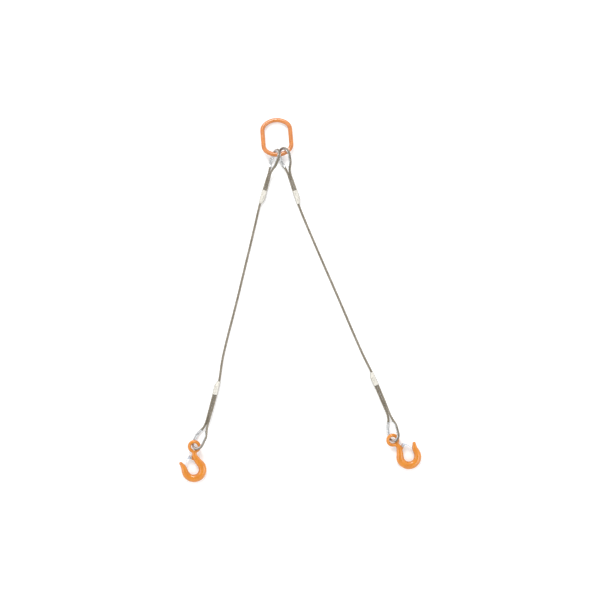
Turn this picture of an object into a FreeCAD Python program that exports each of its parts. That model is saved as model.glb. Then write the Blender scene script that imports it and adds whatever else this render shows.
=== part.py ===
"""Two-leg wire rope sling, laid out on the ground, in millimetres.

+Z is up, +Y runs from the hooks towards the master link, and the origin is on the
ground under the middle of the whole sling. Each leg is one rope with an eye at both
ends. An eye is closed by a pressed ferrule round two runs of rope, the live run that
goes on down the leg and the dead run that ends in the ferrule. The upper eyes hang on
the master link and the lower eyes each hold a hook with a sprung safety latch.
"""

import FreeCAD, Part

import os
from math import asin, atan2, cos, hypot, pi, radians, sin, tan

Vector = FreeCAD.Vector

# Rope, 6 mm nominal
ROPE_R = 3.15  # over the strands
PAIR = 3.35  # half the spacing of two runs that lie side by side
LEG_Z = ROPE_R + 0.1  # height of the rope's centre where it lies on the ground
KNUCKLE_R = 3.7  # hollow in the lower half's end, round the ball on the upper half

# Thimble, a pressed steel channel bent to a teardrop
CROWN_R = 18.0  # crown centre to the rope's centreline
THROAT = 46.0  # crown centre to where the two runs close up
CROWN_CORNERS = 4  # corners of the route round the crown
SHOULDER = 25.0  # crown centre to the corners where the sides turn in to the throat
SHOULDER_HALF = 16.6  # half the spacing of those corners
GROOVE_R = 3.3
SHEET = 1.1
FLANGE = 0.3  # the channel's straight sides, past the rope's centre
THIMBLE_TIP = 37.0  # crown centre to the ends of the channel

# Ferrule, an aluminium sleeve pressed to a cylinder and a taper
FERRULE_R = 7.1
FERRULE_LENGTH = 38.0
TAPER_LENGTH = 13.0
TAPER_R = 4.9
TAPER_SHIFT = 2.2  # the taper leans to the live run
FERRULE_RIM_R = 1.2
SIGHT_HOLE_R = 1.1
SIGHT_HOLE_ALONG = 3.0  # from the middle towards the leg, just past the dead run's end
BORE_FIT = 0.05
STUB = 5.5  # rope that leaves a ferrule straight

# Master link, a round bar bent to an oblong
LINK_BAR_R = 6.0
LINK_HALF_WIDTH = 37.7  # to the bar's centreline
LINK_HALF_HEIGHT = 48.2
LINK_CORNER_R = 22.0
LINK_END_R = 47.0
LINK_CENTRE = Vector(-62.3, 439.6, 0.0)
LINK_LEAN = 4.7  # degrees in plan
LINK_RISE = 8.7  # degrees, because the thimbles pass under its lower end

# Eye hook, with its origin at the eye's centre, +y along the pull and +x to the opening
EYE_R = 13.4  # ring's centreline
EYE_BAR_R = 4.5
BOWL = Vector(3.0, -61.3, 0.0)
TIP = Vector(37.2, -45.6, 0.0)
TIP_R = 4.3
TIP_HEADING = 63
TIP_SET_BACK = 0.6  # the ball on the point, back from the last section
LUG_HALF = 2.0
LUG_R = 3.6
PIVOT = Vector(9.5, -29.6, 0.0)  # latch pin
LUG_ROOT = [(-2.0, -24.0), (7.6, -26.5), (12.0, -32.2), (4.0, -37.5), (-4.0, -37.0)]
EYE_HEIGHT = 16.5
HOOK_RISE = 5.0  # degrees, because the eye lies on the thimble

# Stations down the hook: centre, direction of travel, width in the plane, thickness
NECK_STATIONS = [
    ((0.0, -14.5), -90, 13.0, 9.4),
    ((-0.5, -22.5), -94, 13.4, 10.6),
    ((-5.6, -33.0), -118, 16.6, 13.4),
]
# Bowl stations: angle round the bowl's centre, radius to the section's centre, width, thickness
BOWL_STATIONS = [
    (137, 23.6, 19.4, 15.4),
    (165, 24.7, 21.2, 16.6),
    (195, 25.7, 21.0, 17.2),
    (225, 26.5, 21.4, 17.6),
    (255, 26.5, 21.2, 17.6),
    (285, 25.9, 20.2, 17.0),
    (315, 24.6, 19.4, 16.0),
    (341, 23.9, 17.8, 14.8),
]
POINT_STATIONS = [
    ((27.9, -60.0), 78, 15.6, 13.4),
    ((32.2, -52.0), 61, 12.2, 11.2),
    ((TIP.x, TIP.y), TIP_HEADING, 2 * TIP_R, 2 * TIP_R - 0.2),
]

# Safety latch, a folded sheet tongue with two cheeks on the pin
TONGUE = [(14.4, -25.6), (19.6, -35.0), (22.2, -44.0), (23.2, -51.7)]
TONGUE_HALF = 5.6
LATCH_SHEET = 1.3
CHEEK_INNER = 4.3
CHEEK_R = 3.4
CHEEK_REACH = 8.0  # along the tongue from its start
PIN_R = 1.5
PIN_FIT = 0.08
PIN_HEAD_R = 2.7
PIN_HEAD = 1.2
PIN_HEAD_ROUND = 0.8
PIN_GAP = 0.15  # between a cheek and the pin's head
SPRING_WIRE_R = 0.4
SPRING_COIL_R = 2.3
SPRING_PITCH = 0.85
SPRING_TURNS = 1.4
SPRING_GAP = 0.15  # between the lug and the coil

# How each leg lies. Headings are in degrees from -Y towards +X.
# An eye is its crown's centre, its heading, its roll about its own axis and its throat's height.
LEGS = {
    "left": {
        "upper_eye": ((-65.0, 387.3, 22.5), -21, 60, 12.5),
        "upper_ferrule": ((-100.0, 278.0), -15),
        "upper_run": [(-128.5, 172.0, LEG_Z), (-151.0, 80.0, LEG_Z)],
        "middle": (-162.3, 32.5, LEG_Z),
        "lower_run": [(-173.2, -13.4, LEG_Z), (-195.6, -98.0, LEG_Z), (-212.2, -168.0, LEG_Z)],
        "lower_ferrule": ((-226.2, -239.6), -13.5),
        "lower_eye": ((-275.0, -386.8, 18.5), -26.5, 42, 11.5),
        "hook_eye": (-285.8, -397.9),
        "hook_turn": 0.0,
        "flipped": True,
    },
    "right": {
        "upper_eye": ((-41.5, 392.0, 20.0), 13, 46, 11.5),
        "upper_ferrule": ((-7.4, 278.0), 19),
        "upper_run": [(25.2, 187.0, LEG_Z), (62.4, 101.0, LEG_Z)],
        "middle": (84.0, 51.8, LEG_Z),
        "lower_run": [(105.6, 2.6, LEG_Z), (142.0, -83.0, LEG_Z), (172.4, -152.5, LEG_Z)],
        "lower_ferrule": ((200.2, -215.4), 25),
        "lower_eye": ((253.4, -364.6, 18.7), 11, 45, 11.5),
        "hook_eye": (251.6, -380.5),
        "hook_turn": 42.7,
        "flipped": False,
    },
}


def save(shape, node):
    shape.exportStep("parts/" + node + ".step")


def unit(vector):
    return vector * (1.0 / vector.Length)


def heading_vectors(heading):
    """The direction down the leg, and the direction to its right-hand side in plan."""
    a = radians(heading)
    return Vector(sin(a), -cos(a), 0), Vector(cos(a), sin(a), 0)


# ---- the rope's route -------------------------------------------------------------


def eye_outline():
    """Corners of the rope's route round an eye, from its throat and back. The crown's centre
    is the origin, the crown's end is at +x and the raised side at +y."""
    side = asin(CROWN_R / hypot(SHOULDER, SHOULDER_HALF)) - atan2(SHOULDER_HALF, SHOULDER)
    turn = (pi + 2 * side) / CROWN_CORNERS
    reach = CROWN_R / cos(turn / 2)
    angles = [turn * ((CROWN_CORNERS - 1) / 2 - k) for k in range(CROWN_CORNERS)]
    crown = [Vector(reach * cos(a), reach * sin(a), 0) for a in angles]
    raised = [Vector(-THROAT, PAIR, 0), Vector(-SHOULDER, SHOULDER_HALF, 0)]
    lowered = [Vector(-SHOULDER, -SHOULDER_HALF, 0), Vector(-THROAT, -PAIR, 0)]
    return raised + crown + lowered


def eye_frame(eye, towards):
    """The crown's centre, the direction to the crown's end, and the direction to the raised side.

    towards is 1 where the crown lies down the leg from its ferrule, and -1 where it lies up it.
    """
    centre, heading, roll, throat_height = eye
    down, right = heading_vectors(heading)
    rise = asin((centre[2] - throat_height) / THROAT)
    end = down * (towards * cos(rise)) + Vector(0, 0, sin(rise))
    upright = end.cross(right)
    upright = upright * (1 if upright.z > 0 else -1)
    raised = right * cos(radians(roll)) + upright * sin(radians(roll))
    return Vector(*centre), end, raised


def eye_route(eye, towards):
    """The eye's outline where the eye lies, from the throat's raised side round the crown and back."""
    centre, end, raised = eye_frame(eye, towards)
    return [centre + end * p.x + raised * p.y for p in eye_outline()]


def ferrule_point(ferrule, along, side):
    """A point at a distance down the leg from the ferrule's middle, on the run at that side."""
    (x, y), heading = ferrule
    down, right = heading_vectors(heading)
    return Vector(x, y, FERRULE_R) + down * along + right * (PAIR * side)


def pair_middle(ferrule, eye, towards, side):
    """The run at that side, half way between the ferrule and the throat, half rolled."""
    centre, end, raised = eye_frame(eye, towards)
    throat = centre - end * THROAT
    outlet = ferrule_point(ferrule, towards * (FERRULE_LENGTH / 2 + STUB), 0)
    right = heading_vectors(ferrule[1])[1]
    return (throat + outlet) * 0.5 + unit(right + raised) * (PAIR + 0.1) * side


def upper_route(leg):
    ferrule, eye = leg["upper_ferrule"], leg["upper_eye"]
    outlet = FERRULE_LENGTH / 2 + STUB
    dead = [
        ferrule_point(ferrule, 0, 1),
        ferrule_point(ferrule, -outlet, 1),
        pair_middle(ferrule, eye, -1, 1),
    ]
    live = [
        pair_middle(ferrule, eye, -1, -1),
        ferrule_point(ferrule, -outlet, -1),
        ferrule_point(ferrule, outlet, -1),
    ]
    run = [Vector(*p) for p in leg["upper_run"] + [leg["middle"]]]
    return dead + eye_route(eye, -1) + live + run


def lower_route(leg):
    ferrule, eye = leg["lower_ferrule"], leg["lower_eye"]
    outlet = FERRULE_LENGTH / 2 + STUB
    run = [Vector(*p) for p in [leg["middle"]] + leg["lower_run"]]
    live = [
        ferrule_point(ferrule, -outlet, 1),
        ferrule_point(ferrule, outlet, 1),
        pair_middle(ferrule, eye, 1, 1),
    ]
    dead = [
        pair_middle(ferrule, eye, 1, -1),
        ferrule_point(ferrule, outlet, -1),
        ferrule_point(ferrule, 0, -1),
    ]
    return run + live + eye_route(eye, 1) + dead


def route_wire(route):
    """Straight runs joined by tangent arcs. Round a crown the arcs are the crown's own size."""
    edges, radii, start = [], [], route[0]
    for before, corner, after in zip(route, route[1:], route[2:]):
        back, on = unit(before - corner), unit(after - corner)
        half_turn = (pi - back.getAngle(on)) / 2
        runs = ((before - corner).Length, (after - corner).Length)
        radius = 0.45 * min(runs) / tan(half_turn)
        if half_turn > radians(22.5):
            radius = CROWN_R
        reach = radius * tan(half_turn)
        first, last = corner + back * reach, corner + on * reach
        middle = corner + unit(back + on) * (radius / cos(half_turn) - radius)
        if (first - start).Length > 1e-4:
            edges.append(Part.LineSegment(start, first).toShape())
        edges.append(Part.Arc(first, middle, last).toShape())
        radii.append(radius)
        start = last
    edges.append(Part.LineSegment(start, route[-1]).toShape())
    return Part.Wire(edges), radii


def tube(route, radius):
    wire = route_wire(route)[0]
    section = Part.Wire(Part.makeCircle(radius, route[0], route[1] - route[0]))
    return wire.makePipeShell([section], True, False)


def report_route(node, route, solid):
    wire, radii = route_wire(route)
    ratio = solid.Volume / (pi * ROPE_R**2 * wire.Length)
    runs = [(b - a).Length for a, b in zip(route, route[1:])]
    print(node, "length %.1f mm, volume over section times length %.4f" % (wire.Length, ratio))
    print("  radii", [round(r, 1) for r in radii])
    print("  runs", [round(r, 1) for r in runs])


# ---- master link ------------------------------------------------------------------


def link_outline():
    """The bar's centreline: flat-topped ends, tighter corners and straight sides."""
    corner_x = LINK_HALF_WIDTH - LINK_CORNER_R
    end_y = LINK_HALF_HEIGHT - LINK_END_R
    corner_y = end_y + (((LINK_END_R - LINK_CORNER_R) ** 2) - corner_x**2) ** 0.5
    meet = atan2(corner_y - end_y, corner_x)
    joint = Vector(LINK_END_R * cos(meet), end_y + LINK_END_R * sin(meet), 0)
    bend = Vector(LINK_CORNER_R * cos(meet / 2), LINK_CORNER_R * sin(meet / 2), 0)
    quarter = [
        Vector(LINK_HALF_WIDTH, corner_y, 0),
        Vector(corner_x, corner_y, 0) + bend,
        joint,
        Vector(0, LINK_HALF_HEIGHT, 0),
    ]
    signs = ((1, 1), (-1, 1), (-1, -1), (1, -1))
    ne, nw, sw, se = [[Vector(p.x * sx, p.y * sy, 0) for p in quarter] for sx, sy in signs]
    return Part.Wire(
        [
            Part.Arc(ne[0], ne[1], ne[2]).toShape(),
            Part.Arc(ne[2], ne[3], nw[2]).toShape(),
            Part.Arc(nw[2], nw[1], nw[0]).toShape(),
            Part.LineSegment(nw[0], sw[0]).toShape(),
            Part.Arc(sw[0], sw[1], sw[2]).toShape(),
            Part.Arc(sw[2], sw[3], se[2]).toShape(),
            Part.Arc(se[2], se[1], se[0]).toShape(),
            Part.LineSegment(se[0], ne[0]).toShape(),
        ]
    )


def master_link():
    outline = link_outline()
    start = outline.Edges[0].Vertexes[0].Point
    section = Part.Wire(Part.makeCircle(LINK_BAR_R, start, Vector(0, 1, 0)))
    link = outline.makePipeShell([section], True, False)
    link.rotate(Vector(0, 0, 0), Vector(1, 0, 0), -LINK_RISE)
    link.rotate(Vector(0, 0, 0), Vector(0, 0, 1), LINK_LEAN)
    rise = LINK_HALF_HEIGHT * sin(radians(LINK_RISE))
    link.translate(LINK_CENTRE + Vector(0, 0, LINK_BAR_R + rise))
    return link


# ---- thimble and ferrule ----------------------------------------------------------


def channel_section(start, outward):
    """The U of the thimble's sheet round a point of the rope, open on the outward side."""
    outer, middle, inner = GROOVE_R + SHEET, GROOVE_R + SHEET / 2, GROOVE_R
    lip = FLANGE + SHEET / 2

    def at(x, y):
        return start + outward * x + Vector(0, 0, y)

    edges = [
        Part.LineSegment(at(FLANGE, outer), at(0, outer)),
        Part.Arc(at(0, outer), at(-outer, 0), at(0, -outer)),
        Part.LineSegment(at(0, -outer), at(FLANGE, -outer)),
        Part.Arc(at(FLANGE, -outer), at(lip, -middle), at(FLANGE, -inner)),
        Part.LineSegment(at(FLANGE, -inner), at(0, -inner)),
        Part.Arc(at(0, -inner), at(-inner, 0), at(0, inner)),
        Part.LineSegment(at(0, inner), at(FLANGE, inner)),
        Part.Arc(at(FLANGE, inner), at(lip, middle), at(FLANGE, outer)),
    ]
    return Part.Wire([e.toShape() for e in edges])


def thimble(eye, towards):
    """A channel along the eye's outline, with its ends trimmed square to the eye's axis."""
    outline = eye_outline()
    first_run = unit(outline[1] - outline[0])
    section = channel_section(outline[0], Vector(-first_run.y, first_run.x, 0))
    channel = route_wire(outline)[0].makePipeShell([section], True, False)
    blank = Part.makeBox(
        THIMBLE_TIP + 2 * CROWN_R, 4 * CROWN_R, CROWN_R, Vector(-THIMBLE_TIP, -2 * CROWN_R, -CROWN_R / 2)
    )
    centre, end, raised = eye_frame(eye, towards)
    across = end.cross(raised)
    place = FreeCAD.Matrix(
        end.x, raised.x, across.x, centre.x,
        end.y, raised.y, across.y, centre.y,
        end.z, raised.z, across.z, centre.z,
        0, 0, 0, 1,
    )
    return placed(channel.common(blank), place)


def placed(shape, matrix):
    moved = shape.copy()
    moved.Placement = FreeCAD.Placement(matrix) * shape.Placement
    return moved


def ferrule(spec, towards, live_side, route):
    """towards is 1 where the eye lies down the leg from the ferrule, and -1 where it lies up it."""
    (x, y), heading = spec
    down, right = heading_vectors(heading)
    to_leg = down * -towards
    middle = Vector(x, y, FERRULE_R)
    eye_end = middle - to_leg * (FERRULE_LENGTH / 2)
    leg_end = middle + to_leg * (FERRULE_LENGTH / 2)
    shoulder = leg_end - to_leg * TAPER_LENGTH
    sleeve = Part.makeCylinder(FERRULE_R, FERRULE_LENGTH - TAPER_LENGTH, eye_end, to_leg)
    wide = Part.Wire(Part.makeCircle(FERRULE_R, shoulder, to_leg))
    lean = right * (live_side * TAPER_SHIFT)
    narrow = Part.Wire(Part.makeCircle(TAPER_R, leg_end + lean, to_leg))
    taper = Part.makeLoft([wide, narrow], True, True)
    body = sleeve.fuse(taper)
    rims = [e for e in body.Edges if (e.CenterOfMass - eye_end).Length < 0.01]
    body = body.makeFillet(FERRULE_RIM_R, rims[:1])
    sight_at = middle - right * (live_side * PAIR) + to_leg * SIGHT_HOLE_ALONG
    sight = Part.makeCylinder(SIGHT_HOLE_R, FERRULE_R, sight_at)
    bore = tube(route, ROPE_R + BORE_FIT)
    return body.cut([bore, sight])


# ---- hook and latch, in the hook's own frame ---------------------------------------


def oval(x, y, heading, width, thickness):
    """A section across the hook, with its width in the hook's plane and more than its thickness."""
    across = Vector(-sin(radians(heading)), cos(radians(heading)), 0)
    centre = Vector(x, y, 0)
    curve = Part.Ellipse(centre + across * (width / 2), centre + Vector(0, 0, thickness / 2), centre)
    return Part.Wire(curve.toShape())


def hook():
    ovals = [oval(x, y, *rest) for (x, y), *rest in NECK_STATIONS]
    for angle, reach, width, thickness in BOWL_STATIONS:
        a = radians(angle)
        centre = BOWL + Vector(cos(a), sin(a), 0) * reach
        ovals.append(oval(centre.x, centre.y, angle + 90, width, thickness))
    ovals += [oval(x, y, *rest) for (x, y), *rest in POINT_STATIONS]
    shank = Part.makeLoft(ovals, True, False)
    eye = Part.makeTorus(EYE_R, EYE_BAR_R)
    onward = Vector(cos(radians(TIP_HEADING)), sin(radians(TIP_HEADING)), 0)
    tip = Part.makeSphere(TIP_R, TIP - onward * TIP_SET_BACK)
    lug = Part.makeCylinder(LUG_R, 2 * LUG_HALF, PIVOT - Vector(0, 0, LUG_HALF))
    corners = [Vector(x, y, -LUG_HALF) for x, y in LUG_ROOT + LUG_ROOT[:1]]
    web = Part.Face(Part.makePolygon(corners)).extrude(Vector(0, 0, 2 * LUG_HALF))
    body = shank.fuse(eye).fuse(lug.fuse(web)).fuse(tip).removeSplitter()
    pin_hole = Part.makeCylinder(PIN_R, 4 * LUG_HALF, PIVOT - Vector(0, 0, 2 * LUG_HALF))
    return body.cut(pin_hole)


def latch():
    """Tongue and two cheeks, closed, with its free end just inside the hook's point."""
    line = Part.BSplineCurve()
    line.interpolate([Vector(x, y, -TONGUE_HALF) for x, y in TONGUE])
    spine = Part.Wire(line.toShape())
    start, heading = line.value(0), line.tangent(0)[0]
    across = Vector(-heading.y, heading.x, 0) * (LATCH_SHEET / 2)
    up = Vector(0, 0, 2 * TONGUE_HALF)
    strip = [start - across, start + across, start + across + up, start - across + up]
    tongue = spine.makePipeShell([Part.makePolygon(strip + strip[:1])], True, False)
    knee = line.value(line.parameterAtDistance(CHEEK_REACH, line.FirstParameter))
    outline = [
        PIVOT + Vector(-1.2, CHEEK_R, 0),
        Vector(TONGUE[0][0], TONGUE[0][1], 0),
        Vector(knee.x, knee.y, 0),
        PIVOT + Vector(0.6, -CHEEK_R, 0),
    ]
    pieces = []
    cheek = TONGUE_HALF - CHEEK_INNER
    for low in (-TONGUE_HALF, CHEEK_INNER):
        lift = Vector(0, 0, low)
        corners = [p + lift for p in outline + outline[:1]]
        plate = Part.Face(Part.makePolygon(corners)).extrude(Vector(0, 0, cheek))
        boss = Part.makeCylinder(CHEEK_R, cheek, PIVOT + lift)
        pieces += [plate, boss]
    body = tongue.fuse(pieces).removeSplitter()
    hole = Part.makeCylinder(PIN_R + PIN_FIT, 4 * TONGUE_HALF, PIVOT - Vector(0, 0, 2 * TONGUE_HALF))
    return body.cut(hole)


def latch_pin():
    half = TONGUE_HALF + PIN_GAP
    shank = Part.makeCylinder(PIN_R, 2 * half, PIVOT - Vector(0, 0, half))
    low = Part.makeCylinder(PIN_HEAD_R, PIN_HEAD, PIVOT + Vector(0, 0, half))
    high = Part.makeCylinder(PIN_HEAD_R, PIN_HEAD, PIVOT - Vector(0, 0, half + PIN_HEAD))
    rounded = []
    for head, face_z in ((low, half + PIN_HEAD), (high, -half - PIN_HEAD)):
        rims = [e for e in head.Edges if abs(e.CenterOfMass.z - face_z) < 0.01]
        rounded.append(head.makeFillet(PIN_HEAD_ROUND, rims))
    return shank.fuse(rounded).removeSplitter()


def latch_spring():
    """Torsion coil on the pin, between the lug and the latch's cheek."""
    height = SPRING_PITCH * SPRING_TURNS
    helix = Part.makeHelix(SPRING_PITCH, height, SPRING_COIL_R)
    wire = Part.makeCircle(SPRING_WIRE_R, Vector(SPRING_COIL_R, 0, 0), Vector(0, 1, 0))
    coil = Part.Wire(helix.Edges).makePipeShell([Part.Wire(wire)], True, True)
    coil.translate(PIVOT + Vector(0, 0, LUG_HALF + SPRING_GAP + SPRING_WIRE_R))
    return coil


def hook_placement(leg):
    """Turned over on the left leg, pitched up to the thimble, turned in plan, then moved."""
    x, y = leg["hook_eye"]
    flip = FreeCAD.Rotation(Vector(0, 1, 0), 180 if leg["flipped"] else 0)
    rise = FreeCAD.Rotation(Vector(1, 0, 0), HOOK_RISE)
    turn = FreeCAD.Rotation(Vector(0, 0, 1), leg["hook_turn"])
    return FreeCAD.Placement(Vector(x, y, EYE_HEIGHT), turn * rise * flip)


# ---- the assembly -----------------------------------------------------------------


def knuckled(upper, lower, route):
    """The two rope halves' ends: a ball on the upper one and a hollow round it in the lower one."""
    middle, before = route[-1], route[-2]
    ball = Part.makeSphere(ROPE_R, middle, unit(middle - before), 0, 90, 360)
    hollow = Part.makeSphere(KNUCKLE_R, middle)
    return upper.fuse(ball), lower.cut(hollow)


def build_leg(name, leg):
    up, down = upper_route(leg), lower_route(leg)
    upper, lower = tube(up, ROPE_R), tube(down, ROPE_R)
    report_route(name + "_rope_upper", up, upper)
    report_route(name + "_rope_lower", down, lower)
    upper, lower = knuckled(upper, lower, up)
    place = hook_placement(leg)
    nodes = {
        "upper_thimble": thimble(leg["upper_eye"], -1),
        "upper_ferrule": ferrule(leg["upper_ferrule"], -1, -1, up),
        "rope_upper": upper,
        "rope_lower": lower,
        "lower_ferrule": ferrule(leg["lower_ferrule"], 1, 1, down),
        "lower_thimble": thimble(leg["lower_eye"], 1),
    }
    for piece in (hook, latch, latch_pin, latch_spring):
        nodes[piece.__name__] = placed(piece(), place.toMatrix())
    print(name, "hook normal", place.Rotation.multVec(Vector(0, 0, 1)))
    print(name, "latch pin at", place.multVec(PIVOT), "bowl centre at", place.multVec(BOWL))
    return {name + "_" + node: shape for node, shape in nodes.items()}


def main():
    os.makedirs("parts", exist_ok=True)
    nodes = {"master_link": master_link()}
    for name, leg in LEGS.items():
        nodes.update(build_leg(name, leg))
    for node, shape in nodes.items():
        box = shape.optimalBoundingBox()
        print("%-22s valid %s solids %d volume %.0f z %.2f..%.2f" % (
            node, shape.isValid(), len(shape.Solids), shape.Volume, box.ZMin, box.ZMax))
        save(shape, node)


main()
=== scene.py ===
"""Looks of a two-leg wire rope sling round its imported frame. Metres, +Z up, the sling lies on z = 0."""

from math import asin, atan2, cos, exp, hypot, pi, radians, sin, sqrt

import bmesh
import bpy
from mathutils import Matrix, Vector


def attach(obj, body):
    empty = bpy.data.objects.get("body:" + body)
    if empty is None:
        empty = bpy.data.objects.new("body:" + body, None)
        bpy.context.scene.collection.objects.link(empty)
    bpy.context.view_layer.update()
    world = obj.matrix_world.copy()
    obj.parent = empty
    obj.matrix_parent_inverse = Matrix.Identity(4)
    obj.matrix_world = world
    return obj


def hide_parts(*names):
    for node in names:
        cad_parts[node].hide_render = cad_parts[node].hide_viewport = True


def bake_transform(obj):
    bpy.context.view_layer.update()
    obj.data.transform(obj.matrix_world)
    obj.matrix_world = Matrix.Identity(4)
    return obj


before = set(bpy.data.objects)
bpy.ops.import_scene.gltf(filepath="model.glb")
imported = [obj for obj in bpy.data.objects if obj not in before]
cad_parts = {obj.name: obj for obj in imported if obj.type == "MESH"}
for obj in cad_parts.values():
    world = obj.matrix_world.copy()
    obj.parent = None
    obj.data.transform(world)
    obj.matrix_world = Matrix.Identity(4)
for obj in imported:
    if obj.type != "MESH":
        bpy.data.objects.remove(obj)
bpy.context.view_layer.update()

MM = 0.001

# Rope and its eyes, as in the frame
ROPE_R = 3.15 * MM
PAIR = 3.35 * MM  # half the spacing of two runs that lie side by side
ROLL_GAP = 0.1 * MM  # a little more, where the pair rolls from flat to the eye's own tilt
LEG_Z = 3.25 * MM
CROWN_R = 18.0 * MM
THROAT = 46.0 * MM
CROWN_CORNERS = 4
SHOULDER = 25.0 * MM
SHOULDER_HALF = 16.6 * MM
FERRULE_R = 7.1 * MM
FERRULE_LENGTH = 38.0 * MM
STUB = 5.5 * MM  # rope that leaves a ferrule straight
OUTLET = FERRULE_LENGTH / 2 + STUB

# Rope's make-up: strands laid round a core, and wires in each strand
STRANDS = 6
WIRES = 12  # round each strand
STRAND_R = 1.07 * MM
STRAND_RING_R = ROPE_R - STRAND_R
ROPE_LAY = 44.0 * MM
WIRE_LAY = 20.6 * MM
STRAND_STEPS = 10
STRAND_OFFSET = 0.37  # turns of the wires' lay from one strand to the next
RING_STEP = 1.7 * MM
SPLINE_RESOLUTION = 24

# How each leg lies, in metres. Headings are in degrees from -Y towards +X.
# An eye is its crown's centre, its heading, its roll and its throat's height.
LEGS = {
    "left": {
        "upper_eye": ((-0.0650, 0.3873, 0.0225), -21, 60, 0.0125),
        "upper_ferrule": ((-0.1000, 0.2780), -15),
        "run": [
            (-0.1285, 0.1720, LEG_Z),
            (-0.1510, 0.0800, LEG_Z),
            (-0.1732, -0.0134, LEG_Z),
            (-0.1956, -0.0980, LEG_Z),
            (-0.2122, -0.1680, LEG_Z),
        ],
        "middle": (-0.1623, 0.0325, LEG_Z),
        "lower_ferrule": ((-0.2262, -0.2396), -13.5),
        "lower_eye": ((-0.2750, -0.3868, 0.0185), -26.5, 42, 0.0115),
        "hook_eye": (-0.2858, -0.3979, 0.0165),
        "hook_turn": 0.0,
        "flipped": True,
        "rope_length": 1.203,
    },
    "right": {
        "upper_eye": ((-0.0415, 0.3920, 0.0200), 13, 46, 0.0115),
        "upper_ferrule": ((-0.0074, 0.2780), 19),
        "run": [
            (0.0252, 0.1870, LEG_Z),
            (0.0624, 0.1010, LEG_Z),
            (0.1056, 0.0026, LEG_Z),
            (0.1420, -0.0830, LEG_Z),
            (0.1724, -0.1525, LEG_Z),
        ],
        "middle": (0.0840, 0.0518, LEG_Z),
        "lower_ferrule": ((0.2002, -0.2154), 25),
        "lower_eye": ((0.2534, -0.3646, 0.0187), 11, 45, 0.0115),
        "hook_eye": (0.2516, -0.3805, 0.0165),
        "hook_turn": 42.7,
        "flipped": False,
        "rope_length": 1.220,
    },
}

# Thimble, whose channel opens out and loses its flanges towards its two ends
GROOVE_R = 3.3 * MM
SHEET = 1.1 * MM
FLANGE = 0.9 * MM  # the channel's straight sides, past the rope's centre
THIMBLE_TIP = 37.0 * MM
THIMBLE_STEP = 1.4 * MM
FLARE = 14.0 * MM
CHANNEL_STEPS = 7  # round each half of the channel
LIP_STEPS = 4
END_OPENING = 62  # degrees of the channel's arc on each side of its bottom, at its ends
FULL_OPENING = 90
FLANGE_START = 0.2  # share of the flare's rise at which the flanges begin

# Ferrule
TAPER_LENGTH = 13.0 * MM
TAPER_R = 4.9 * MM
TAPER_SHIFT = 2.2 * MM
SIGHT_HOLE_R = 1.1 * MM
SIGHT_HOLE_ALONG = 3.0 * MM
SIGHT_HOLE_HEIGHTS = (4.0 * MM, 9.0 * MM)
SIGHT_HOLE_SEGMENTS = 20
FERRULE_SEGMENTS = 64
FLASH = 0.28 * MM  # height of the line where the dies met
FLASH_HALF_ANGLE = 0.07
RIPPLE = 0.05 * MM  # left by the press
RIPPLE_LENGTH = 3.1 * MM
FERRULE_SWELL = 0.2 * MM  # flash and ripple go no further out than this
# Rounded ends in millimetres: distance from the end, radius, and lean past the taper's own
EYE_END = [(0.0, 5.3), (0.05, 5.9), (0.35, 6.5), (1.0, 6.95)]
LEG_END = [(0.5, 4.4, 0.0), (0.15, 3.85, 0.6), (0.1, 2.95, 1.0)]

# Master link
LINK_BAR_R = 6.0 * MM
LINK_HALF_WIDTH = 37.7 * MM
LINK_HALF_HEIGHT = 48.2 * MM
LINK_CORNER_R = 22.0 * MM
LINK_END_R = 47.0 * MM
LINK_CENTRE = Vector((-0.0623, 0.4396, 0.0))
LINK_LEAN = 4.7
LINK_RISE = 8.7
LINK_SEGMENTS = 48
LINK_SIDE_STEPS = 10
LINK_CORNER_STEPS = 14
LINK_END_STEPS = 10
WELD = 0.35 * MM
WELD_REACH = 3.4 * MM
WELD_RIPPLES = 9

# Hook, in its own frame in millimetres. A station is a section's centre, its heading, its width
# in the hook's plane and its thickness. In the bowl an angle and a radius give the centre.
EYE_R = 13.4
EYE_BAR_R = 4.5
BOWL = (3.0, -61.3)
TIP = (37.2, -45.6)
TIP_R = 4.3
TIP_HEADING = 63
TIP_SET_BACK = 0.6
PIVOT = (9.5, -29.6)
LUG_R = 3.6
LUG_HALF = 2.0
LUG_TOP = [(-2.0, -24.0), (6.2, -26.3)]
LUG_FOOT = [(4.0, -37.5), (-4.0, -37.0)]
LUG_ARC = range(130, -51, -18)  # degrees round the pivot
HOOK_RISE = 5.0
NECK_STATIONS = [
    ((0.0, -14.5), -90, 13.0, 9.4),
    ((-0.5, -22.5), -94, 13.4, 10.6),
    ((-5.6, -33.0), -118, 16.6, 13.4),
]
BOWL_STATIONS = [
    (137, 23.6, 19.4, 15.4),
    (165, 24.7, 21.2, 16.6),
    (195, 25.7, 21.0, 17.2),
    (225, 26.5, 21.4, 17.6),
    (255, 26.5, 21.2, 17.6),
    (285, 25.9, 20.2, 17.0),
    (315, 24.6, 19.4, 16.0),
    (341, 23.9, 17.8, 14.8),
]
POINT_STATIONS = [
    ((27.9, -60.0), 78, 15.6, 13.4),
    ((32.2, -52.0), 61, 12.2, 11.2),
    (TIP, TIP_HEADING, 2 * TIP_R, 2 * TIP_R - 0.2),
]
SECTION_STEPS = 6  # sections from one station to the next
SECTION_SEGMENTS = 40
SQUARENESS = 0.92  # 1 is an oval
INSIDE_SWELL = 0.06  # thicker towards the bowl's inside, by this share
HOOK_VOXEL = 0.7
FILLET_PASSES = 9
PARTING_RIDGE = 0.22
PARTING_REACH = 0.75

LATCH_EDGE = 0.25 * MM  # how far the latch's cut edges are broken

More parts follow.
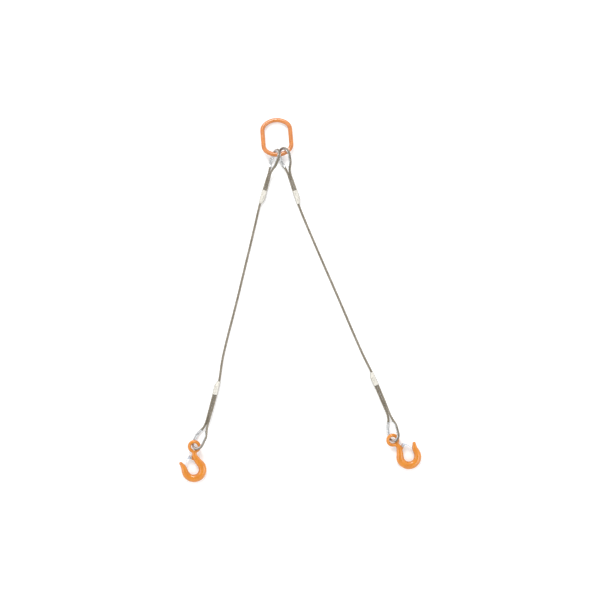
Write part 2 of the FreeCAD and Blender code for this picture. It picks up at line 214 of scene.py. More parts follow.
# Paints: on top, in the cloudy patches, and down the sides, where the darker colour is painted shade
LINK_PAINT = ((0.62, 0.203, 0.032), (0.53, 0.160, 0.023), (0.40, 0.125, 0.016))
HOOK_PAINT = ((0.70, 0.238, 0.011), (0.59, 0.185, 0.008), (0.44, 0.140, 0.008))

# Camera straight above the sling, and the width of ground that it sees
CAMERA_HEIGHT = 3.5
VIEW_WIDTH = 1.632
VIEW_CENTRE = (0.0005, -0.0011)

# Brightness of the sky by the sine of its height
SKY_STRENGTH = 1.06
SKY_BRIGHTNESS = [(0.0, 0.45), (0.5, 1.00), (0.8, 0.85), (0.95, 0.38), (1.0, 0.32)]

# Studio lights: name, place, diameter and power
LIGHTS = [
    ("key", (-0.9, 4.4, 5.0), 2.4, 215),
    ("fill", (3.6, -1.8, 4.6), 3.4, 66),
    ("side", (-4.0, -1.0, 4.2), 3.0, 44),
]
FLOOR_HALF = 40.0
FLOOR_DROP = 0.2 * MM


# ---- mesh helpers -----------------------------------------------------------------


def new_object(name, mesh, material):
    obj = bpy.data.objects.new(name, mesh)
    bpy.context.scene.collection.objects.link(obj)
    mesh.materials.clear()
    mesh.materials.append(material)
    for face in mesh.polygons:
        face.use_smooth = True
    return obj


def ring_mesh(name, rings, closed=False, capped=True):
    """Quads between rings of points. Each ring is closed, and the row of rings too if closed."""
    count = len(rings[0])
    verts = [tuple(p) for ring in rings for p in ring]
    faces = []
    for i in range(len(rings) if closed else len(rings) - 1):
        a, b = i * count, (i + 1) % len(rings) * count
        for k in range(count):
            n = (k + 1) % count
            faces.append((a + k, a + n, b + n, b + k))
    if capped and not closed:
        last = (len(rings) - 1) * count
        faces.append(tuple(reversed(range(count))))
        faces.append(tuple(last + k for k in range(count)))
    mesh = bpy.data.meshes.new(name)
    mesh.from_pydata(verts, [], faces)
    outward_normals(mesh)
    return mesh


def outward_normals(mesh):
    work = bmesh.new()
    work.from_mesh(mesh)
    bmesh.ops.recalc_face_normals(work, faces=work.faces)
    work.to_mesh(mesh)
    work.free()


def baked(obj):
    """The object's mesh with its modifiers applied."""
    graph = bpy.context.evaluated_depsgraph_get()
    mesh = bpy.data.meshes.new_from_object(obj.evaluated_get(graph))
    obj.modifiers.clear()
    old = obj.data
    obj.data = mesh
    bpy.data.meshes.remove(old)
    for face in mesh.polygons:
        face.use_smooth = True
    return obj


def spline_points(name, route):
    """Points along the smooth line that has the route as its control points."""
    curve = bpy.data.curves.new(name, "CURVE")
    curve.dimensions = "3D"
    spline = curve.splines.new("NURBS")
    spline.points.add(len(route) - 1)
    for point, place in zip(spline.points, route):
        point.co = (*place, 1.0)
    spline.order_u = 3
    spline.use_endpoint_u = True
    spline.resolution_u = SPLINE_RESOLUTION
    line = bpy.data.objects.new(name, curve)
    bpy.context.scene.collection.objects.link(line)
    graph = bpy.context.evaluated_depsgraph_get()
    mesh = bpy.data.meshes.new_from_object(line.evaluated_get(graph))
    points = [v.co.copy() for v in mesh.vertices]
    bpy.data.meshes.remove(mesh)
    bpy.data.objects.remove(line)
    bpy.data.curves.remove(curve)
    return points


def evenly(points, step):
    """Points at even distances along a line of points."""
    total = sum((b - a).length for a, b in zip(points, points[1:]))
    count = max(2, round(total / step))
    spacing = total / count
    out, target, gone = [points[0].copy()], spacing, 0.0
    for a, b in zip(points, points[1:]):
        length = (b - a).length
        while length > 0 and gone + length >= target - 1e-9 and len(out) < count:
            out.append(a.lerp(b, (target - gone) / length))
            target += spacing
        gone += length
    out.append(points[-1].copy())
    return out


def travelling_frames(points):
    """Tangent, normal and binormal at each point, turned as little as can be along the line."""
    frames = []
    tangent = (points[1] - points[0]).normalized()
    normal = tangent.orthogonal().normalized()
    for i, point in enumerate(points):
        ahead = points[min(i + 1, len(points) - 1)] - points[max(i - 1, 0)]
        new_tangent = ahead.normalized()
        normal = (tangent.rotation_difference(new_tangent) @ normal).normalized()
        tangent = new_tangent
        frames.append((point, tangent, normal, tangent.cross(normal)))
    return frames


# ---- rope -------------------------------------------------------------------------


def heading_vectors(heading):
    a = radians(heading)
    return Vector((sin(a), -cos(a), 0)), Vector((cos(a), sin(a), 0))


def eye_outline():
    """The route round an eye, with the crown's centre at the origin, its end at +x and the raised
    side at +y. Each run beside the crown has a point as near the crown's corner as the next one."""
    side = asin(CROWN_R / hypot(SHOULDER, SHOULDER_HALF)) - atan2(SHOULDER_HALF, SHOULDER)
    turn = (pi + 2 * side) / CROWN_CORNERS
    reach = CROWN_R / cos(turn / 2)
    angles = [turn * ((CROWN_CORNERS - 1) / 2 - k) for k in range(CROWN_CORNERS)]
    crown = [Vector((reach * cos(a), reach * sin(a), 0)) for a in angles]
    shoulder = Vector((-SHOULDER, SHOULDER_HALF, 0))
    spacing = (crown[1] - crown[0]).length
    beside = crown[0] + (shoulder - crown[0]).normalized() * spacing
    raised = [Vector((-THROAT, PAIR, 0)), shoulder, beside]
    lowered = [Vector((p.x, -p.y, 0)) for p in reversed(raised)]
    return raised + crown + lowered


def eye_frame(eye, towards):
    """The crown's centre, the direction to the crown's end, and the direction to the raised side."""
    centre, heading, roll, throat_height = eye
    down, right = heading_vectors(heading)
    rise = asin((centre[2] - throat_height) / THROAT)
    end = down * (towards * cos(rise)) + Vector((0, 0, sin(rise)))
    upright = end.cross(right)
    upright = upright * (1 if upright.z > 0 else -1)
    raised = right * cos(radians(roll)) + upright * sin(radians(roll))
    return Vector(centre), end, raised


def eye_route(eye, towards):
    """The eye's outline where the eye lies, from the throat's raised side round the crown and back."""
    centre, end, raised = eye_frame(eye, towards)
    return [centre + end * p.x + raised * p.y for p in eye_outline()]


def ferrule_point(ferrule, along, side):
    (x, y), heading = ferrule
    down, right = heading_vectors(heading)
    return Vector((x, y, FERRULE_R)) + down * along + right * (PAIR * side)


def pair_middle(ferrule, eye, towards, side):
    """The run at that side, half way between the ferrule and the throat, half rolled."""
    centre, end, raised = eye_frame(eye, towards)
    throat = centre - end * THROAT
    outlet = ferrule_point(ferrule, towards * OUTLET, 0)
    right = heading_vectors(ferrule[1])[1]
    return (throat + outlet) * 0.5 + (right + raised).normalized() * ((PAIR + ROLL_GAP) * side)


def leg_route(leg):
    """From the dead end in the upper ferrule, round both eyes, to the dead end in the lower one."""
    top, bottom = leg["upper_ferrule"], leg["lower_ferrule"]
    upper, lower = leg["upper_eye"], leg["lower_eye"]
    return [
        ferrule_point(top, 0, 1),
        ferrule_point(top, -OUTLET, 1),
        pair_middle(top, upper, -1, 1),
        *eye_route(upper, -1),
        pair_middle(top, upper, -1, -1),
        ferrule_point(top, -OUTLET, -1),
        ferrule_point(top, OUTLET, -1),
        *[Vector(p) for p in leg["run"]],
        ferrule_point(bottom, -OUTLET, 1),
        ferrule_point(bottom, OUTLET, 1),
        pair_middle(bottom, lower, 1, 1),
        *eye_route(lower, 1),
        pair_middle(bottom, lower, 1, -1),
        ferrule_point(bottom, OUTLET, -1),
        ferrule_point(bottom, 0, -1),
    ]


def strand_section():
    """Points round the rope's section as (angle, radius, angle round the strand's own middle)."""
    half = pi / STRANDS
    edge = STRAND_RING_R * cos(half) + sqrt(STRAND_R**2 - (STRAND_RING_R * sin(half)) ** 2)
    limit = atan2(edge * sin(half), edge * cos(half) - STRAND_RING_R)
    section = []
    for strand in range(STRANDS):
        for k in range(STRAND_STEPS):
            round_strand = limit * (2 * k / STRAND_STEPS - 1)
            x = STRAND_RING_R + STRAND_R * cos(round_strand)
            y = STRAND_R * sin(round_strand)
            section.append((2 * half * strand + atan2(y, x), hypot(x, y), round_strand))
    return section, limit


def rope(name, side, leg, material):
    """A leg's whole rope, its strands wound round the smooth line of its route."""
    points = evenly(spline_points(name + "_line", leg_route(leg)), RING_STEP)
    section, limit = strand_section()
    spacing = (points[1] - points[0]).length
    rings = []
    for i, (point, _, normal, binormal) in enumerate(travelling_frames(points)):
        twist = 2 * pi * i * spacing / ROPE_LAY
        ring = []
        for angle, radius, _ in section:
            a = angle + twist
            ring.append(point + normal * (radius * cos(a)) + binormal * (radius * sin(a)))
        rings.append(ring)
    mesh = ring_mesh(name, rings)
    wind_wires(mesh, section, limit, spacing)
    obj = new_object(name, mesh, material)
    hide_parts(side + "_rope_upper", side + "_rope_lower")
    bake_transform(obj)
    return obj


def wind_wires(mesh, section, limit, spacing):
    """Surface coordinates for the wires: turns round the strand, and turns of the wires' lay."""
    layer = mesh.uv_layers.new(name="wires")
    count = len(section)
    across = [round_strand / (2 * pi) for _, _, round_strand in section]
    far_edge = limit / (2 * pi)
    for face in mesh.polygons:
        corners = list(face.vertices)
        if len(corners) > 4:
            continue
        columns = [v % count for v in corners]
        strand = min(columns) // STRAND_STEPS
        if max(columns) - min(columns) > 1:
            strand = STRANDS - 1
        for loop, vertex, column in zip(face.loop_indices, corners, columns):
            u = across[column] if column // STRAND_STEPS == strand else far_edge
            v = (vertex // count) * spacing / WIRE_LAY + STRAND_OFFSET * strand
            layer.data[loop].uv = (u, v)


# ---- thimble and ferrule ----------------------------------------------------------


def channel_ring(opening, flange):
    """Closed section of the thimble's sheet, as (outwards, across) round the rope's middle."""
    angles = [opening * (k / CHANNEL_STEPS - 1) for k in range(2 * CHANNEL_STEPS + 1)]

    def face(radius):
        points = [(-radius * cos(a), radius * sin(a)) for a in angles]
        for end in (0, -1):
            points[end] = (points[end][0] + flange, points[end][1])
        return points

    far, near = face(GROOVE_R + SHEET), face(GROOVE_R)[::-1]
    return far + rolled_lip(far[-1], near[0]) + near + rolled_lip(near[-1], far[0])


def rolled_lip(start, end):
    """Half a round lip from one face of the sheet to the other."""
    middle = ((start[0] + end[0]) / 2, (start[1] + end[1]) / 2)
    first = atan2(start[1] - middle[1], start[0] - middle[0])
    turn = pi / LIP_STEPS if start[1] < 0 else -pi / LIP_STEPS
    angles = [first + turn * k for k in range(1, LIP_STEPS)]
    return [(middle[0] + SHEET / 2 * cos(a), middle[1] + SHEET / 2 * sin(a)) for a in angles]


def thimble_line():
    """Stations along the rope's line round an eye: place, outward direction, distance to the nearer end."""
    outline = eye_outline()
    beyond = Vector((-THROAT / 2, 0, 0))
    route = [outline[0] + beyond, *outline, outline[-1] + beyond]
    points = evenly(spline_points("eye_line", route), THIMBLE_STEP)
    step = (points[1] - points[0]).length
    line = [p for p in points if p.x > -THIMBLE_TIP]
    last = len(line) - 1
    stations = []
    for i, point in enumerate(line):
        along = (line[min(i + 1, last)] - line[max(i - 1, 0)]).normalized()
        stations.append((point, Vector((-along.y, along.x, 0)), min(i, last - i) * step))
    return stations


def thimble(name, node, body, eye, towards, material):
    """A pressed channel along the rope's line, wound from sections of its sheet."""
    centre, end, raised = eye_frame(eye, towards)
    across = end.cross(raised)
    place = Matrix((end, raised, across)).transposed()
    rings = []
    for at, outward, left in thimble_line():
        opened = min(1.0, left / FLARE)
        rise = opened * opened * (3 - 2 * opened)
        opening = radians(END_OPENING + (FULL_OPENING - END_OPENING) * rise)
        flange = FLANGE * max(0.0, (rise - FLANGE_START) / (1 - FLANGE_START))
        section = channel_ring(opening, flange)
        ring = []
        for x, y in section:
            ring.append(centre + place @ (at + outward * x + Vector((0, 0, y))))
        rings.append(ring)
    obj = new_object(name, ring_mesh(name, rings), material)
    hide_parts(node)
    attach(obj, body)
    return obj


def ferrule_profile():
    """Stations from the eye end to the leg end: distance, radius, and how far it leans."""
    half, taper = FERRULE_LENGTH / 2, FERRULE_LENGTH - TAPER_LENGTH
    sleeve_start, shoulder = 1.8 * MM, taper - 1.2 * MM
    steps = 12
    stations = [(d * MM, radius * MM, 0.0) for d, radius in EYE_END]
    for k in range(steps + 1):
        stations.append((sleeve_start + (shoulder - sleeve_start) * k / steps, FERRULE_R, 0.0))
    for k in range(1, steps + 1):
        t = k / steps
        smooth = t * t * (3 - 2 * t)
        d = shoulder + (TAPER_LENGTH - 0.2 * MM) * t
        radius = FERRULE_R + (TAPER_R - FERRULE_R) * (0.55 * t + 0.45 * smooth)
        stations.append((d, radius, TAPER_SHIFT * (0.5 * t + 0.5 * smooth)))
    for d, radius, lean in LEG_END:
        stations.append((FERRULE_LENGTH - d * MM, radius * MM, TAPER_SHIFT + lean * MM))
    return [(d - half, radius, lean) for d, radius, lean in stations]


def ferrule(name, node, body, spec, towards, live_side, material):
    """Pressed sleeve with a thin flash line at each side, where the dies met, and a sight hole."""
    (x, y), heading = spec
    down, right = heading_vectors(heading)
    to_leg, up = down * -towards, Vector((0, 0, 1))
    middle = Vector((x, y, FERRULE_R))
    rings = []
    for along, radius, lean in ferrule_profile():
        axis = middle + to_leg * along + right * (live_side * lean)
        ring = []
        for k in range(FERRULE_SEGMENTS):
            a = 2 * pi * k / FERRULE_SEGMENTS
            flash = FLASH * exp(-((sin(a) / FLASH_HALF_ANGLE) ** 2)) * min(1.0, radius / FERRULE_R)
            ripple = RIPPLE * sin(along / RIPPLE_LENGTH) * abs(cos(a))
            r = min(radius + flash + ripple, FERRULE_R + FERRULE_SWELL)
            ring.append(axis + right * (r * cos(a)) + up * (r * sin(a)))
        rings.append(ring)
    obj = new_object(name, ring_mesh(name, rings), material)
    drill = sight_drill(middle, right, to_leg, live_side)
    cut = obj.modifiers.new("sight", "BOOLEAN")
    cut.operation = "DIFFERENCE"
    cut.solver = "EXACT"
    cut.object = drill
    baked(obj)
    bpy.data.objects.remove(drill)
    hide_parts(node)
    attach(obj, body)
    return obj


def sight_drill(middle, right, to_leg, live_side):
    """A rod through the top of the sleeve, over the dead run's end."""
    start = middle - right * (live_side * PAIR) + to_leg * SIGHT_HOLE_ALONG
    rings = []
    for height in SIGHT_HOLE_HEIGHTS:
        ring = []
        for k in range(SIGHT_HOLE_SEGMENTS):
            a = 2 * pi * k / SIGHT_HOLE_SEGMENTS
            side = right * (SIGHT_HOLE_R * cos(a)) + to_leg * (SIGHT_HOLE_R * sin(a))
            ring.append(start + side + Vector((0, 0, height)))
        rings.append(ring)
    drill = bpy.data.objects.new("drill", ring_mesh("drill", rings))
    bpy.context.scene.collection.objects.link(drill)
    return drill


# ---- master link ------------------------------------------------------------------


def link_line():
    """The bar's centreline as places close together, each with its outward direction."""
    corner_x = LINK_HALF_WIDTH - LINK_CORNER_R
    end_y = LINK_HALF_HEIGHT - LINK_END_R
    corner_y = end_y + sqrt((LINK_END_R - LINK_CORNER_R) ** 2 - corner_x**2)
    meet = atan2(corner_y - end_y, corner_x)
    quarter = []
    for k in range(LINK_SIDE_STEPS):
        quarter.append((Vector((LINK_HALF_WIDTH, corner_y * k / LINK_SIDE_STEPS, 0)), Vector((1, 0, 0))))
    for k in range(LINK_CORNER_STEPS):
        a = meet * k / LINK_CORNER_STEPS
        out = Vector((cos(a), sin(a), 0))
        quarter.append((Vector((corner_x, corner_y, 0)) + out * LINK_CORNER_R, out))
    for k in range(LINK_END_STEPS + 1):
        a = meet + (pi / 2 - meet) * k / LINK_END_STEPS
        out = Vector((cos(a), sin(a), 0))
        quarter.append((Vector((0, end_y, 0)) + out * LINK_END_R, out))

    def mirrored(points, sx, sy):
        flip = Vector((sx, sy, 1))
        return [(p * flip, out * flip) for p, out in points]

    half = quarter + mirrored(quarter[-2:0:-1], -1, 1)
    rest = mirrored(quarter, -1, -1) + mirrored(quarter[-2:0:-1], 1, -1)
    return half + rest


def master_link(material):
    """A bent round bar with a dressed weld half way up its left side."""
    line = link_line()
    rise = LINK_HALF_HEIGHT * sin(radians(LINK_RISE))
    place = Matrix.Translation(LINK_CENTRE + Vector((0, 0, LINK_BAR_R + rise)))
    place = place @ Matrix.Rotation(radians(LINK_LEAN), 4, "Z") @ Matrix.Rotation(-radians(LINK_RISE), 4, "X")
    rings = []
    for point, outward in line:
        weld = 0.0
        if point.x < 0:
            weld = WELD * exp(-((point.y / WELD_REACH) ** 2))
        ring = []
        for k in range(LINK_SEGMENTS):
            a = 2 * pi * k / LINK_SEGMENTS
            r = LINK_BAR_R + weld * (0.75 + 0.25 * sin(WELD_RIPPLES * a))
            ring.append(place @ (point + outward * (r * cos(a)) + Vector((0, 0, r * sin(a)))))
        rings.append(ring)
    obj = new_object("link_bar", ring_mesh("link_bar", rings, closed=True), material)
    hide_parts("master_link")
    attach(obj, "master_link")
    return obj


# ---- hook -------------------------------------------------------------------------


def hook_matrix(leg):
    """From the hook's own frame, in millimetres, to its place in the sling."""
    flip = Matrix.Rotation(pi if leg["flipped"] else 0.0, 4, "Y")
    rise = Matrix.Rotation(radians(HOOK_RISE), 4, "X")
    turn = Matrix.Rotation(radians(leg["hook_turn"]), 4, "Z")
    return Matrix.Translation(leg["hook_eye"]) @ turn @ rise @ flip @ Matrix.Scale(MM, 4)


def hook_stations():
    stations = list(NECK_STATIONS)
    for angle, reach, width, thickness in BOWL_STATIONS:
        a = radians(angle)
        centre = (BOWL[0] + reach * cos(a), BOWL[1] + reach * sin(a))
        stations.append((centre, angle + 90, width, thickness))
    return stations + POINT_STATIONS


def hook_sections():
    """Smooth run of sections down the hook: centre, direction, width and thickness."""
    stations = []
    for (x, y), heading, width, thickness in hook_stations():
        a = radians(heading)
        stations.append((Vector((x, y, 0)), Vector((cos(a), sin(a), 0)), width, thickness))
    sections = []
    for i in range(len(stations) - 1):
        (p, t, *_), (q, u, *_) = stations[i], stations[i + 1]
        chord = (q - p).length
        for k in range(SECTION_STEPS):
            s = k / SECTION_STEPS
            h = (2 * s**3 - 3 * s**2 + 1, s**3 - 2 * s**2 + s, -2 * s**3 + 3 * s**2, s**3 - s**2)
            centre = p * h[0] + t * (h[1] * chord) + q * h[2] + u * (h[3] * chord)
            sizes = [smooth_size(stations, i, s, column) for column in (2, 3)]
            sections.append((centre, t.lerp(u, s).normalized(), *sizes))
    sections.append(stations[-1])
    return sections


def smooth_size(stations, i, s, column):
    """Catmull-Rom value of a station's size between stations i and i + 1."""
    last = len(stations) - 1
    a, b, c, d = [stations[min(max(j, 0), last)][column] for j in (i - 1, i, i + 1, i + 2)]
    return 0.5 * (2 * b + (c - a) * s + (2 * a - 5 * b + 4 * c - d) * s**2 + (3 * b - a - 3 * c + d) * s**3)


def hook_shank():
    """Forged section: a little squarer than an oval, and thickest towards the bowl's inside."""
    rings = []
    for centre, along, width, thickness in hook_sections():
        across = Vector((-along.y, along.x, 0))
        ring = []
        for k in range(SECTION_SEGMENTS):
            a = 2 * pi * k / SECTION_SEGMENTS
            c, s = cos(a), sin(a)
            x = abs(c) ** SQUARENESS * (1 if c > 0 else -1) * width / 2
            z = abs(s) ** SQUARENESS * (1 if s > 0 else -1) * thickness / 2 * (1 + INSIDE_SWELL * c)
            ring.append(centre + across * x + Vector((0, 0, z)))
        rings.append(ring)
    return ring_mesh("shank", rings)


def hook_eye():
    around, across = 72, 28
    rings = []
    for i in range(around):
        a = 2 * pi * i / around
        out = Vector((cos(a), sin(a), 0))
        ring = []
        for k in range(across):
            b = 2 * pi * k / across
            ring.append(out * (EYE_R + EYE_BAR_R * cos(b)) + Vector((0, 0, EYE_BAR_R * sin(b))))
        rings.append(ring)
    return ring_mesh("eye", rings, closed=True)


def hook_tip():
    ball = bmesh.new()
    bmesh.ops.create_uvsphere(ball, u_segments=32, v_segments=20, radius=TIP_R)
    heading = radians(TIP_HEADING)
    onward = Vector((cos(heading), sin(heading), 0))
    bmesh.ops.translate(ball, verts=ball.verts, vec=Vector((*TIP, 0)) - onward * TIP_SET_BACK)
    mesh = bpy.data.meshes.new("tip")
    ball.to_mesh(mesh)
    ball.free()
    return mesh


def hook_lug():
    """The ear that the latch pin goes through, with its web to the neck."""
    arc = [radians(a) for a in LUG_ARC]
    rounded = [(PIVOT[0] + LUG_R * cos(a), PIVOT[1] + LUG_R * sin(a)) for a in arc]
    outline = LUG_TOP + rounded + LUG_FOOT
    rings = [[Vector((x, y, z)) for x, y in outline] for z in (-LUG_HALF, LUG_HALF)]
    return ring_mesh("lug", rings)


def hook_body(name, side, leg, material):
    """Shank, eye, point and ear joined in one skin, with the fillets and parting line of a forging."""
    joined = bmesh.new()
    for mesh in (hook_shank(), hook_eye(), hook_tip(), hook_lug()):
        joined.from_mesh(mesh)
        bpy.data.meshes.remove(mesh)
    mesh = bpy.data.meshes.new(name)
    joined.to_mesh(mesh)
    joined.free()
    obj = new_object(name, mesh, material)
    remesh = obj.modifiers.new("skin", "REMESH")
    remesh.mode = "VOXEL"
    remesh.voxel_size = HOOK_VOXEL
    soften = obj.modifiers.new("fillets", "SMOOTH")
    soften.factor = 0.5
    soften.iterations = FILLET_PASSES
    baked(obj)
    raise_parting_line(obj.data)
    obj.data.transform(hook_matrix(leg))
    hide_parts(side + "_hook")
    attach(obj, side + "_hook_body")
    return obj


def raise_parting_line(mesh):
    """The trimmed flash of the forging, a low ridge round the hook's outline."""
    normals = [v.normal.copy() for v in mesh.vertices]
    for vertex, normal in zip(mesh.vertices, normals):
        flat = hypot(normal.x, normal.y)
        steep = max(0.0, flat - 0.6) / 0.4
        ridge = PARTING_RIDGE * exp(-((vertex.co.z / PARTING_REACH) ** 2)) * steep
        vertex.co += Vector((normal.x, normal.y, 0)) * ridge


# ---- materials --------------------------------------------------------------------


class Nodes:
    """Short forms for building one material's node tree."""

    def __init__(self, name):
        self.material = bpy.data.materials.new(name)
        self.material.use_nodes = True
        self.tree = self.material.node_tree
        self.shader = self.tree.nodes["Principled BSDF"]

    def node(self, kind, **settings):
        node = self.tree.nodes.new("ShaderNode" + kind)
        for key, value in settings.items():
            if key in node.inputs:
                node.inputs[key].default_value = value
            else:
                setattr(node, key, value)
        return node

    def join(self, out, into):
        self.tree.links.new(out, into)

    def set(self, **values):
        for key, value in values.items():
            self.shader.inputs[key.replace("_", " ")].default_value = value

    def noise(self, scale, detail=3.0, roughness=0.5, distortion=0.0):
        node = self.node("TexNoise", Scale=scale, Detail=detail, Roughness=roughness, Distortion=distortion)
        self.join(self.coords(), node.inputs["Vector"])
        return node.outputs["Fac"]

    def coords(self):
        return self.node("TexCoord").outputs["Object"]

    def upward(self):
        """How far the surface faces up, as it lies at rest."""
        facing = self.node("SeparateXYZ")
        self.join(self.node("TexCoord").outputs["Normal"], facing.inputs["Vector"])
        return facing.outputs["Z"]

    def spread(self, value, low, high, to_low=0.0, to_high=1.0):
        node = self.node("MapRange")
        for key, number in (("From Min", low), ("From Max", high), ("To Min", to_low), ("To Max", to_high)):
            node.inputs[key].default_value = number
        self.join(value, node.inputs["Value"])
        return node.outputs["Result"]

    def math(self, operation, a, b=None):
        node = self.node("Math", operation=operation)
        for socket, value in zip(node.inputs, (a, b)):
            if value is None:
                continue
            if isinstance(value, (int, float)):
                socket.default_value = value
            else:
                self.join(value, socket)
        return node.outputs["Value"]

    def mix(self, factor, first, second):
        node = self.node("Mix", data_type="RGBA")
        for index, value in ((0, factor), (6, first), (7, second)):
            if isinstance(value, (tuple, float)):
                node.inputs[index].default_value = value
            else:
                self.join(value, node.inputs[index])
        return node.outputs[2]

    def bump(self, height, distance, strength=1.0, after=None):
        node = self.node("Bump", Strength=strength, Distance=distance)
        self.join(height, node.inputs["Height"])
        if after is not None:
            self.join(after, node.inputs["Normal"])
        return node.outputs["Normal"]

    def finish(self, colour=None, roughness=None, normal=None):
        for value, socket in ((colour, "Base Color"), (roughness, "Roughness"), (normal, "Normal")):
            if value is not None:
                self.join(value, self.shader.inputs[socket])
        return self.material


def shade(red, green, blue):
    return (red, green, blue, 1.0)


def paint(name, colours):
    """Glossy paint with orange peel, uneven depth, painted shade down the sides, and small chips."""
    n = Nodes(name)
    main, deep, painted_side_shade = [shade(*colour) for colour in colours]
    n.set(Specular_IOR_Level=0.5, Coat_Weight=0.8, Coat_Roughness=0.08)
    cloud = n.noise(60.0, detail=2.0)
    colour = n.mix(n.spread(cloud, 0.35, 0.7), main, deep)
    # Painted shade: the paint darkens where the surface turns away from straight up.
    colour = n.mix(n.spread(n.upward(), 0.0, 0.5), painted_side_shade, colour)
    edge = n.spread(n.node("NewGeometry").outputs["Pointiness"], 0.53, 0.60)
    chips = n.spread(n.noise(900.0, detail=4.0, roughness=0.7), 0.60, 0.64)
    chip = n.math("MULTIPLY", edge, chips)
    scuff = n.spread(n.noise(350.0, detail=5.0, roughness=0.75), 0.69, 0.73, 0.0, 0.5)
    mark = n.math("MAXIMUM", chip, scuff)
    colour = n.mix(mark, colour, shade(0.20, 0.10, 0.06))
    rough = n.spread(n.noise(220.0), 0.3, 0.7, 0.22, 0.36)
    peel = n.bump(n.noise(1100.0, detail=1.0), 0.04 * MM, 0.5)
    normal = n.bump(n.math("SUBTRACT", 1.0, mark), 0.05 * MM, 0.6, after=peel)
    return n.finish(colour, rough, normal)


def rope_steel():
    """Drawn wires with painted shade in the valleys between strands and in the gaps between wires, and a
    brownish cast in patches.
    """
    n = Nodes("rope_steel")
    n.set(Metallic=0.6)
    place = n.node("UVMap", uv_map="wires").outputs["UV"]
    split = n.node("SeparateXYZ")
    n.join(place, split.inputs["Vector"])
    across, along = split.outputs["X"], split.outputs["Y"]
    turns = n.math("MULTIPLY", n.math("ADD", across, along), WIRES * pi)
    wire = n.math("POWER", n.math("ABSOLUTE", n.math("SINE", turns)), 0.6)
    # Painted shade: near black in the valleys between strands, by the distance across each strand.
    painted_valley_shade = n.spread(n.math("ABSOLUTE", across), 0.14, 0.27)
    patches = n.spread(n.noise(45.0, detail=4.0), 0.35, 0.65)
    steel = n.mix(patches, shade(0.47, 0.42, 0.34), shade(0.34, 0.295, 0.22))
    # Painted shade: dark colour in the gaps between neighbouring wires.
    painted_wire_gap_shade = n.spread(wire, 0.25, 0.8)
    wires = n.mix(painted_wire_gap_shade, shade(0.13, 0.114, 0.086), steel)
    colour = n.mix(painted_valley_shade, wires, shade(0.022, 0.019, 0.015))
    rough = n.spread(n.noise(500.0), 0.3, 0.7, 0.38, 0.6)
    return n.finish(colour, rough, n.bump(wire, 0.16 * MM, 1.0))


def galvanised():
    """Zinc with a faint spangle, duller in the marks of handling, and with painted shade along the sheared
    edges.
    """
    n = Nodes("galvanised")
    n.set(Metallic=0.95)
    cells = n.node("TexVoronoi", Scale=420.0)
    n.join(n.coords(), cells.inputs["Vector"])
    spangle = n.node("SeparateColor")
    n.join(cells.outputs["Color"], spangle.inputs["Color"])
    tint = n.mix(spangle.outputs["Red"], shade(0.60, 0.615, 0.63), shade(0.72, 0.73, 0.74))
    dull = n.spread(n.noise(160.0, detail=5.0), 0.5, 0.68)
    colour = n.mix(dull, tint, shade(0.46, 0.46, 0.45))
    # Painted shade: dark colour along the sharp edges, picked out by pointiness.
    edge = n.spread(n.node("NewGeometry").outputs["Pointiness"], 0.54, 0.62)
    colour = n.mix(edge, colour, shade(0.16, 0.15, 0.135))
    rough = n.spread(spangle.outputs["Green"], 0.0, 1.0, 0.20, 0.36)
    return n.finish(colour, rough, n.bump(n.noise(700.0), 0.05 * MM, 0.5))


def pressed_aluminium():
    """Matt aluminium with rubs, small dents, and painted shade that greys its sides."""
    n = Nodes("pressed_aluminium")
    n.set(Metallic=0.3)
    rubs = n.spread(n.noise(240.0, detail=6.0, roughness=0.65), 0.42, 0.66)
    colour = n.mix(rubs, shade(0.76, 0.735, 0.665), shade(0.52, 0.50, 0.445))
    # Painted shade: darker grey where the surface turns away from straight up.
    colour = n.mix(n.spread(n.upward(), 0.1, 0.75), shade(0.27, 0.262, 0.238), colour)
    dents = n.bump(n.noise(420.0, detail=2.0), 0.15 * MM, 0.5)
    rough = n.spread(n.noise(800.0), 0.3, 0.7, 0.35, 0.52)
    return n.finish(colour, rough, n.bump(n.noise(2600.0), 0.02 * MM, 0.5, after=dents))


def plated(name, metal, light, dark):
    """Zinc plate, cloudy, with fine scratches."""
    n = Nodes(name)
    n.set(Metallic=metal)
    cloud = n.spread(n.noise(260.0, detail=4.0), 0.35, 0.7)
    rough = n.spread(n.noise(900.0), 0.3, 0.7, 0.28, 0.45)
    scratches = n.noise(1500.0, detail=2.0, distortion=1.5)
    normal = n.bump(scratches, 0.03 * MM, 0.6)
    return n.finish(n.mix(cloud, light, dark), rough, normal)


def floor_card():
    n = Nodes("floor_card")
    n.set(Specular_IOR_Level=0.2, Roughness=0.9, Emission_Strength=0.18)
    n.set(Emission_Color=shade(1.0, 1.0, 1.0))
    colour = n.mix(n.noise(3.0), shade(0.93, 0.93, 0.93), shade(0.95, 0.95, 0.95))
    return n.finish(colour)


# ---- stage ------------------------------------------------------------------------


def add_area_light(name, place, size, power):
    """A round light that faces the sling."""
    light = bpy.data.lights.new(name, "AREA")
    light.shape = "DISK"
    light.size = size
    light.energy = power
    obj = bpy.data.objects.new(name, light)
    bpy.context.scene.collection.objects.link(obj)
    obj.location = place
    obj.rotation_euler = (-Vector(place)).to_track_quat("-Z", "Y").to_euler()


def set_stage():
    corners = [(x * FLOOR_HALF, y * FLOOR_HALF, 0) for x, y in ((-1, -1), (1, -1), (1, 1), (-1, 1))]
    mesh = bpy.data.meshes.new("floor")
    mesh.from_pydata(corners, [], [(0, 1, 2, 3)])
    floor = new_object("floor", mesh, floor_card())
    floor.location.z = -FLOOR_DROP
    set_world()
    for light in LIGHTS:
        add_area_light(*light)


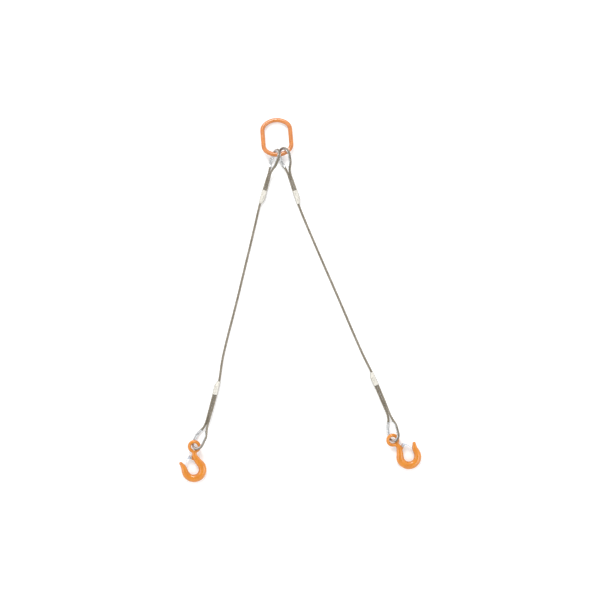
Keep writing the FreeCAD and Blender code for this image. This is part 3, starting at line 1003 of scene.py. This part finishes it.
def set_world():
    """Soft light from half way up, and dimmer overhead and at the horizon, so that colours stay deep."""
    world = bpy.data.worlds.new("studio")
    bpy.context.scene.world = world
    world.use_nodes = True
    tree = world.node_tree
    split = tree.nodes.new("ShaderNodeSeparateXYZ")
    ramp = tree.nodes.new("ShaderNodeValToRGB")
    elements = ramp.color_ramp.elements
    for at, bright in SKY_BRIGHTNESS[1:-1]:
        elements.new(at)
    for element, (at, bright) in zip(elements, SKY_BRIGHTNESS):
        element.position = at
        element.color = (bright, bright, bright, 1.0)
    tree.links.new(tree.nodes.new("ShaderNodeTexCoord").outputs["Generated"], split.inputs["Vector"])
    tree.links.new(split.outputs["Z"], ramp.inputs["Fac"])
    tree.links.new(ramp.outputs["Color"], tree.nodes["Background"].inputs["Color"])
    tree.nodes["Background"].inputs["Strength"].default_value = SKY_STRENGTH


def set_camera():
    camera = bpy.data.cameras.new("camera")
    camera.sensor_width = 36.0
    camera.lens = camera.sensor_width * CAMERA_HEIGHT / VIEW_WIDTH
    obj = bpy.data.objects.new("camera", camera)
    bpy.context.scene.collection.objects.link(obj)
    obj.location = (*VIEW_CENTRE, CAMERA_HEIGHT)
    bpy.context.scene.camera = obj


# ---- the sling --------------------------------------------------------------------


def carry(node, material, edge=0.0):
    """A CAD node whose shape is right keeps it, and gets its finish and broken edges."""
    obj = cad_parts[node]
    obj.data.materials.clear()
    obj.data.materials.append(material)
    if edge:
        bevel = obj.modifiers.new("edges", "BEVEL")
        bevel.width = edge
        bevel.segments = 2
        bevel.angle_limit = radians(40)


def build():
    bpy.context.scene.view_settings.view_transform = "Standard"
    set_camera()
    rope_finish, zinc, aluminium = rope_steel(), galvanised(), pressed_aluminium()
    link_paint, hook_paint = paint("link_paint", LINK_PAINT), paint("hook_paint", HOOK_PAINT)
    latch_plate = plated("latch_plate", 0.5, shade(0.66, 0.71, 0.79), shade(0.54, 0.58, 0.66))
    pin_plate = plated("pin_plate", 0.85, shade(0.55, 0.55, 0.54), shade(0.38, 0.37, 0.36))
    spring_wire = plated("spring_wire", 0.85, shade(0.40, 0.40, 0.41), shade(0.25, 0.25, 0.26))
    for side, leg in LEGS.items():
        rope(side + "_rope", side, leg, rope_finish)
        for level, towards, live_side in (("upper", -1, -1), ("lower", 1, 1)):
            node, body = side + "_" + level, side + "_" + level + "_leg"
            thimble(node + "_eye_thimble", node + "_thimble", body, leg[level + "_eye"], towards, zinc)
            spec = leg[level + "_ferrule"]
            ferrule(node + "_sleeve", node + "_ferrule", body, spec, towards, live_side, aluminium)
        hook_body(side + "_hook_forging", side, leg, hook_paint)
        carry(side + "_latch", latch_plate, LATCH_EDGE)
        carry(side + "_latch_pin", pin_plate)
        carry(side + "_latch_spring", spring_wire)
    master_link(link_paint)
    set_stage()


build()
